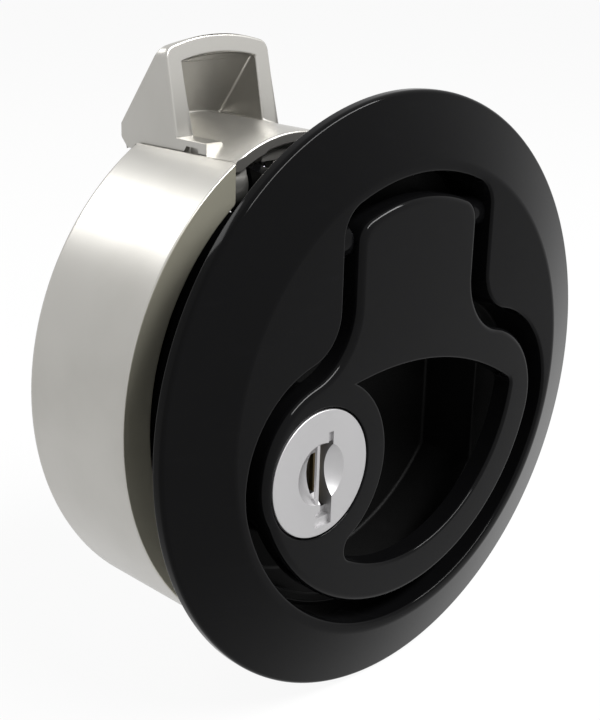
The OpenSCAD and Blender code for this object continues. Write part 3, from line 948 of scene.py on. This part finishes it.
@dataclass
class Lock(Part):
    """Key lock in the handle."""

    packed: ClassVar[dict[str, Slot]] = {
        "lock_sleeve": Slot.SLEEVE,
        "lock_wafers": Slot.WAFER,
        "lock_tongue": Slot.LINK,
        "tongue_washer": Slot.SCREW,
        "tongue_screw": Slot.SCREW,
        "sleeve_clip": Slot.CLIP,
    }

    axis: Point = (-16.3, -4.8)
    sides: int = 128
    face: float = -4.5
    face_back: float = -2.8
    face_r: float = 7.9
    face_edge: float = 0.15
    shoulder_edge: float = 0.1
    dimple_r: float = 3.85
    dimple_depth: float = 1.75
    dimple_rings: int = 12
    plug_r: float = 5.4
    plug_back: float = 6.7
    plug_edge: float = 0.15
    tang_half: float = 2.0
    tang_back: float = 8.4
    screw_bore: Point = (6.0, 9.0)
    screw_bore_r: float = 1.02

    # Key slot: its two sides, then foot, head and depth of each shallow step
    key_slot: Point = (-17.1, -14.4)
    steps: tuple[Triple, ...] = ((-11.6, -10.6, 0.45), (-10.6, -9.6, 1.1))
    # Left side, head and depth of the shallow step above the opening
    top_step: Triple = (-15.2, 0.15, 0.35)
    # Foot and head of the opening, and left side, foot and head of its wider part
    opening: Point = (-9.65, -1.15)
    side_opening: Triple = (-16.3, -7.4, -2.4)
    keyway_back: float = 5.0
    # Right side, depth and foot of the bar beside the opening
    bar: Triple = (-16.65, 0.35, -8.7)
    # The keyway's walls get a painted shade, a dark colour, from this far behind the face
    shade_depth: float = 2.2
    # Largest part of a wall's normal that points along the lock
    wall_tilt: float = 0.3

    def build(self, bench: Bench) -> list[bpy.types.Object]:
        """Builds the lock.

        Args:
            bench: where pieces are made.

        Returns:
            The lock face with its plug.
        """
        x, z = self.axis
        plug = combined(self.plug(), self.cuts(), "DIFFERENCE")
        left, head = self.key_slot[0], self.opening[1] + OVERLAP
        right, depth, foot = self.bar
        bar = block((left, self.face, foot), (right, self.face + depth, head))
        tang = block(
            (x - self.tang_half, self.plug_back - OVERLAP, z - self.tang_half),
            (x + self.tang_half, self.tang_back, z + self.tang_half),
        )
        plug = combined(plug, [bar, tang], "UNION")
        plug = combined(plug, [rod(self.axis, self.screw_bore, self.screw_bore_r)], "DIFFERENCE")
        piece = bench.publish(plug, "lock_face", Body.LOCK, Slot.LOCK, ["lock_plug"])
        self.paint_keyway_shade(bench, piece)
        return [piece]

    def paint_keyway_shade(self, bench: Bench, piece: bpy.types.Object) -> None:
        """Paints shade on the walls of the keyway: a dark colour on the walls that lie deep in the slot.

        Args:
            bench: where the finishes are.
            piece: the lock face.
        """
        piece.data.materials.append(bench.finishes["keyway"])
        # Painted shade: walls deep in the keyway take the dark colour
        for face in piece.data.polygons:
            at = face.center / MM
            reach = math.hypot(at.x - self.axis[0], at.z - self.axis[1])
            inside = reach < self.plug_r - self.plug_edge - NEAR and at.y > self.face + self.shade_depth
            if inside and abs(face.normal.y) < self.wall_tilt:
                face.material_index = 1

    def plug(self) -> bmesh.types.BMesh:
        """Spins the face with its dimple, and the plug behind it.

        Returns:
            The solid.
        """
        ball = (self.dimple_r ** 2 + self.dimple_depth ** 2) / (2 * self.dimple_depth)
        centre = self.face + self.dimple_depth - ball
        turns = [math.asin(self.dimple_r / ball) * i / self.dimple_rings for i in range(self.dimple_rings)]
        dimple = [(ball * math.sin(turn), centre + ball * math.cos(turn)) for turn in turns]
        rim = rounded_profile([
            (self.dimple_r, self.face, 0.0),
            (self.face_r, self.face, self.face_edge),
            (self.face_r, self.face_back, self.shoulder_edge),
            (self.plug_r, self.face_back, 0.0),
            (self.plug_r, self.plug_back, self.plug_edge),
            (0.0, self.plug_back, 0.0),
        ])
        return turned(dimple + rim, self.sides, self.axis)

    def cuts(self) -> list[bmesh.types.BMesh]:
        """Makes the cutters of the stepped key slot.

        Returns:
            The cutters.
        """
        left, right = self.key_slot
        foot, head = self.opening
        split, side_foot, side_head = self.side_opening
        step_left, step_head, step_depth = self.top_step
        front = self.face - PAST
        made = [block((left, front, z0), (right, self.face + depth, z1)) for z0, z1, depth in self.steps]
        made.append(block((step_left, front, head - OVERLAP), (right, self.face + step_depth, step_head)))
        made.append(block((split, front, foot), (right, self.keyway_back, head)))
        made.append(block((left, front, side_foot), (split + OVERLAP, self.keyway_back, side_head)))
        return made


@dataclass
class Pawl(Part):
    """Sprung ramp pawl with its pin, link and clips."""

    packed: ClassVar[dict[str, Slot]] = {
        "pawl_pin": Slot.PIN,
        "pawl_pin_clips": Slot.CLIP,
        "pawl_spring": Slot.WIRE,
        "pull_link": Slot.LINK,
        "link_pin_front": Slot.PIN,
        "link_pin_rear": Slot.PIN,
        "link_clip_front": Slot.CLIP,
        "link_clip_rear": Slot.CLIP,
    }

    edge: float = 0.3
    fine_edge: float = 0.12
    ledge_front: float = 14.2
    ledge_top: float = 31.5
    saddle_foot: float = 30.5
    wedge_front: float = 18.0
    # How far a chosen edge's middle keeps from the ledge's front
    margin: float = 0.2

    def on_ledge(self, p: Vector) -> bool:
        """Whether a point lies on the long top edge of the ledge.

        Args:
            p: the point.

        Returns:
            True on that edge.
        """
        along = self.ledge_front + self.margin < p.y < self.wedge_front
        return along and abs(p.z - self.ledge_top) < 2 * NEAR

    def on_open_edge(self, p: Vector) -> bool:
        """Whether a point lies on an edge of the saddle or the wedge.

        Args:
            p: the point.

        Returns:
            True on those edges.
        """
        saddle = p.z > self.saddle_foot and p.y < self.ledge_front - self.margin
        return saddle or p.z > self.ledge_top + self.edge or p.y > self.wedge_front

    def build(self, bench: Bench) -> list[bpy.types.Object]:
        """Builds the pawl.

        Args:
            bench: where pieces are made.

        Returns:
            The pawl piece.
        """
        mesh = bench.merged("pawl")
        bench.rounded(mesh, self.edge, 3, 30.0, self.on_open_edge)
        bench.rounded(mesh, self.fine_edge, 2, 60.0, self.on_ledge)
        return [bench.publish(mesh, "cast_pawl", Body.PAWL, Slot.ZINC, ["pawl"])]


@dataclass
class Clamp(Part):
    """Clamp cup with its screws and washers."""

    packed: ClassVar[dict[str, Slot]] = {"clamp_washers": Slot.SCREW}

    inner_r: float = 31.05
    outer_r: float = 35.2
    draft: float = 0.2
    front: float = 8.6
    back: float = 27.2
    back_wall: float = 2.0
    edge: float = 0.35
    floor_edge: float = 1.0
    front_edge: float = 0.2
    back_edge: float = 0.9
    gap_half: float = 18.1
    gap_foot: float = 14.0
    gap_corner: float = 1.5
    # The gap's outer edges lie beyond this radius, and their middles this far from the cup's ends
    corner_reach: float = 34.7
    corner_margin: float = 1.2
    # The gap's cutter ends here, beyond the cup
    beyond: float = 50.0
    hole_r: float = 2.25
    screw_ring: float = 22.0
    screw_angles: tuple[float, ...] = (75.0, 180.0, 285.0)
    screw_edge: float = 0.25
    # Screw heads lie behind this depth
    heads_from: float = 28.0
    # Faces of the cup's front rim, which get the painted light, point forward by at least this much
    rim_facing: float = 0.9

    def build(self, bench: Bench) -> list[bpy.types.Object]:
        """Builds the clamp cup and its screws.

        Args:
            bench: where pieces are made.

        Returns:
            The cup and the screws.
        """
        cup = combined(self.shell(), self.cuts(), "DIFFERENCE")
        bench.rounded(cup, self.gap_corner, 6, 30.0, self.on_gap_corner)
        bench.rounded(cup, self.edge, 3, 60.0, self.on_gap)
        piece = bench.publish(cup, "cast_clamp_cup", Body.HOUSING, Slot.ZINC, ["clamp_cup"])
        # Painted light: the cup's forward-facing rim takes the olive copy of the metal
        piece.data.materials.append(bench.finishes["rim"])
        for face in piece.data.polygons:
            if face.normal.y < -self.rim_facing and face.center.y < (self.front + 2 * NEAR) * MM:
                face.material_index = 1
        screws = bench.merged("clamp_screws")
        bench.rounded(screws, self.screw_edge, 2, 60.0, lambda p: p.y > self.heads_from)
        return [piece, bench.publish(screws, "pan_head_screws", Body.HOUSING, Slot.SCREW, ["clamp_screws"])]

    def shell(self) -> bmesh.types.BMesh:
        """Spins the whole cup.

        Returns:
            The solid.
        """
        inner_back = self.back - self.back_wall
        return turned(
            rounded_profile([
                (0.0, inner_back, 0.0),
                (self.inner_r, inner_back, self.floor_edge),
                (self.inner_r, self.front, self.edge),
                (self.outer_r, self.front, self.front_edge),
                (self.outer_r - self.draft, self.back, self.back_edge),
                (0.0, self.back, 0.0),
            ])
        )

    def cuts(self) -> list[bmesh.types.BMesh]:
        """Makes the cutters of the gap and of the screw holes.

        Returns:
            The cutters.
        """
        made = [block((-self.gap_half, 0, self.gap_foot), (self.gap_half, self.beyond, self.beyond))]
        for angle in self.screw_angles:
            turn = math.radians(angle)
            place = (self.screw_ring * math.sin(turn), self.screw_ring * math.cos(turn))
            made.append(rod(place, (self.back - self.back_wall - PAST, self.back + PAST), self.hole_r))
        return made

    def on_gap_corner(self, p: Vector) -> bool:
        """Whether a point lies on the outer edges beside the gap.

        Args:
            p: the point.

        Returns:
            True on those edges.
        """
        beside = abs(abs(p.x) - self.gap_half) < NEAR
        outside = math.hypot(p.x, p.z) > self.corner_reach
        return beside and outside and self.front + self.corner_margin < p.y < self.back - self.corner_margin

    def on_gap(self, p: Vector) -> bool:
        """Whether a point lies on another edge of the gap.

        Args:
            p: the point.

        Returns:
            True on those edges.
        """
        return abs(abs(p.x) - self.gap_half) < NEAR or abs(p.z - self.gap_foot) < NEAR


@dataclass(frozen=True)
class Lamp:
    """A soft rectangular lamp that faces the latch."""

    name: str
    place: Triple
    size: Point
    power: float
    # Turn of the long side about Z, in degrees
    turn: float = 0.0

    def build(self) -> None:
        """Adds the lamp."""
        data = bpy.data.lights.new(self.name, "AREA")
        data.shape = "RECTANGLE"
        data.size, data.size_y = self.size[0] * MM, self.size[1] * MM
        data.energy = self.power
        lamp = linked(self.name, data)
        back = Vector(self.place).normalized()
        along = Matrix.Rotation(math.radians(self.turn), 3, "Z") @ Vector((1, 0, 0))
        along = (along - back * along.dot(back)).normalized()
        turn = Matrix((along, back.cross(along), back)).transposed().to_4x4()
        lamp.matrix_world = Matrix.Translation(Vector(self.place) * MM) @ turn


@dataclass
class Studio:
    """Floor, light, background and camera."""

    azimuth: float = 46.03
    elevation: float = 18.85
    roll: float = 1.66
    lens: float = 67.97
    sensor: float = 36.0
    near_clip: float = 5.0
    distance: float = 158.2
    target: Triple = (-15.79, 0.0, 8.05)
    floor_z: float = -38.4
    floor_half: float = 3000.0
    floor_tone: float = 0.8
    # Share of white that the floor shows to the camera
    floor_white: float = 0.93
    # Strength of the world as light, where 1 is white
    ambient: float = 0.35
    lamps: tuple[Lamp, ...] = (
        Lamp("back_lamp", place=(-170, 420, 330), size=(150, 150), power=0.55),
        Lamp("front_strip", place=(112, -314, 420), size=(500, 100), power=5.2, turn=22.0),
    )

    def build(self) -> None:
        """Builds the whole studio."""
        self.camera()
        self.floor()
        self.world()
        for lamp in self.lamps:
            lamp.build()
        bpy.context.scene.view_settings.view_transform = "Standard"

    def camera(self) -> None:
        """Adds the camera at the photograph's viewing angle."""
        az, el, roll = (math.radians(a) for a in (self.azimuth, self.elevation, self.roll))
        back = Vector((-math.sin(az) * math.cos(el), -math.cos(az) * math.cos(el), math.sin(el)))
        level = Vector((0, 0, 1)).cross(back).normalized()
        rise = back.cross(level)
        right = math.cos(roll) * level + math.sin(roll) * rise
        up = -math.sin(roll) * level + math.cos(roll) * rise
        data = bpy.data.cameras.new("studio_camera")
        data.lens = self.lens
        data.sensor_width = self.sensor
        data.sensor_fit = "AUTO"
        data.clip_start = self.near_clip * MM
        camera = linked("studio_camera", data)
        turn = Matrix((right, up, back)).transposed().to_4x4()
        camera.matrix_world = Matrix.Translation(Vector(self.target) * MM + back * self.distance * MM) @ turn
        bpy.context.scene.camera = camera

    def floor(self) -> None:
        """Adds a pale floor that runs out of sight."""
        mesh = bmesh.new()
        bmesh.ops.create_grid(mesh, x_segments=2, y_segments=2, size=self.floor_half * MM)
        bmesh.ops.translate(mesh, verts=mesh.verts, vec=(0, 0, self.floor_z * MM))
        piece = mesh_object("studio_floor", mesh)
        made = bpy.data.materials.new("pale_floor")
        g = Graph(made, "ShaderNodeOutputMaterial")
        camera, glossy, through = self.rays(g)
        glow = g.node("ShaderNodeEmission", {}, {"Color": (1, 1, 1), "Strength": 1.0})
        matt = g.node("ShaderNodeBsdfDiffuse", {}, {"Color": (self.floor_tone,) * 3})
        shown = (camera * self.floor_white + glossy + through).clamped()
        g.feed(g.output.inputs[0], g.node("ShaderNodeMixShader", {}, {0: shown, 1: matt, 2: glow}))
        piece.data.materials.append(made)

    def rays(self, g: Graph) -> list[Sock]:
        """Reads which kind of ray sees the background.

        Args:
            g: graph of the floor or the world.

        Returns:
            1 for a camera ray, a glossy ray and a transmission ray.
        """
        kinds = ("Camera", "Glossy", "Transmission")
        return [g.node("ShaderNodeLightPath", out=f"Is {kind} Ray") for kind in kinds]

    def world(self) -> None:
        """Gives the background: white to the camera and in reflections, softer as light."""
        world = bpy.data.worlds.new("studio_world")
        g = Graph(world, "ShaderNodeOutputWorld")
        camera, glossy, through = self.rays(g)
        hidden = 1 - (camera + glossy + through).clamped()
        strength = 1 - hidden * (1 - self.ambient)
        glow = g.node("ShaderNodeBackground", {}, {"Color": (1, 1, 1), "Strength": strength})
        g.feed(g.output.inputs[0], glow)
        bpy.context.scene.world = world


def main() -> None:
    """Builds the latch and its studio."""
    logging.basicConfig(level=logging.INFO, format="%(name)s: %(message)s")
    bench = Bench(Palette().build())
    for part in (Housing(), Handle(), Lock(), Pawl(), Clamp()):
        made = part.build(bench)
        part.dress(bench)
        log.info("%s: %s", type(part).__name__, ", ".join(piece.name for piece in made))
    Studio().build()
    log.info("%d pieces made", bench.count)


if __name__ == "__main__":
    main()
